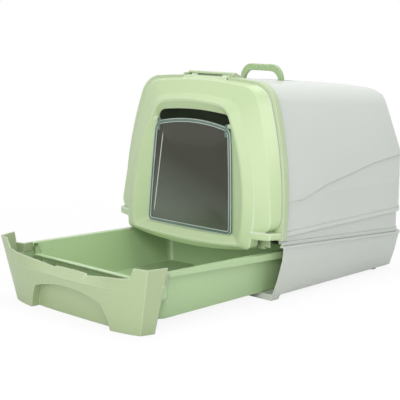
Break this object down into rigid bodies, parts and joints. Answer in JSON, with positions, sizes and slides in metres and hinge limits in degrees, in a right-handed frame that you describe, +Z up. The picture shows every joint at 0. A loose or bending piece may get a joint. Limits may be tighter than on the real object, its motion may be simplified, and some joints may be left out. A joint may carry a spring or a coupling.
{
  "type": "drawer litter box",
  "caption": "Hooded cat litter box with a pull-out litter drawer, a domed front that tilts up, a clear swing flap and a folding carry handle.",
  "frame": {"origin": "centre of the object's outline on the floor, with the drawer pulled out as pictured", "axes": "+X to the object's left side as seen from behind (picture right), +Y to the rear, +Z up; the front faces -Y"},
  "size_m": [0.4174, 0.7276, 0.4164],
  "materials": {
    "shell": "satin pale moulded plastic",
    "foot": "soft grey pad",
    "clip": "satin pale moulded plastic",
    "frame_green": "satin sage green",
    "door_green": "satin sage green",
    "handle_green": "satin sage green",
    "tray_green": "satin sage green",
    "fascia_green": "satin yellowish sage green",
    "flap": "clear smoky plastic",
    "pivot": "clear plastic pin",
    "rod": "plain steel",
    "screw": "plain steel"
  },
  "bodies": {
    "base": {"base_tub": "shell", "foot_front_left": "foot", "foot_front_right": "foot", "foot_rear_left": "foot", "foot_rear_right": "foot", "hood_shell": "shell", "hood_clip_left": "clip", "hood_clip_right": "clip", "front_frame": "frame_green", "door_hinge_rod": "rod", "handle_pin_left": "rod", "handle_pin_right": "rod"},
    "door": {"front_door": "door_green"},
    "flap": {"flap_panel": "flap", "flap_pivot_left": "pivot", "flap_pivot_right": "pivot"},
    "handle": {"carry_handle": "handle_green"},
    "drawer": {"drawer_tray": "tray_green", "drawer_fascia": "fascia_green", "fascia_screws": "screw"}
  },
  "joints": [
    {"name": "drawer_slide", "type": "slide", "parent": "base", "child": "drawer", "axis": [0, 1, 0], "range_m": [-0.03, 0.29]},
    {"name": "door_tilt", "type": "hinge", "parent": "base", "child": "door", "pos_m": [0, -0.00418, 0.399], "axis": [-1, 0, 0], "range_deg": [0, 70]},
    {"name": "flap_swing", "type": "hinge", "parent": "door", "child": "flap", "pos_m": [0, -0.05118, 0.315], "axis": [1, 0, 0], "range_deg": [-70, 70]},
    {"name": "handle_fold", "type": "hinge", "parent": "base", "child": "handle", "pos_m": [0, 0.14282, 0.38143], "axis": [-1, 0, 0], "range_deg": [0, 88]}
  ]
}
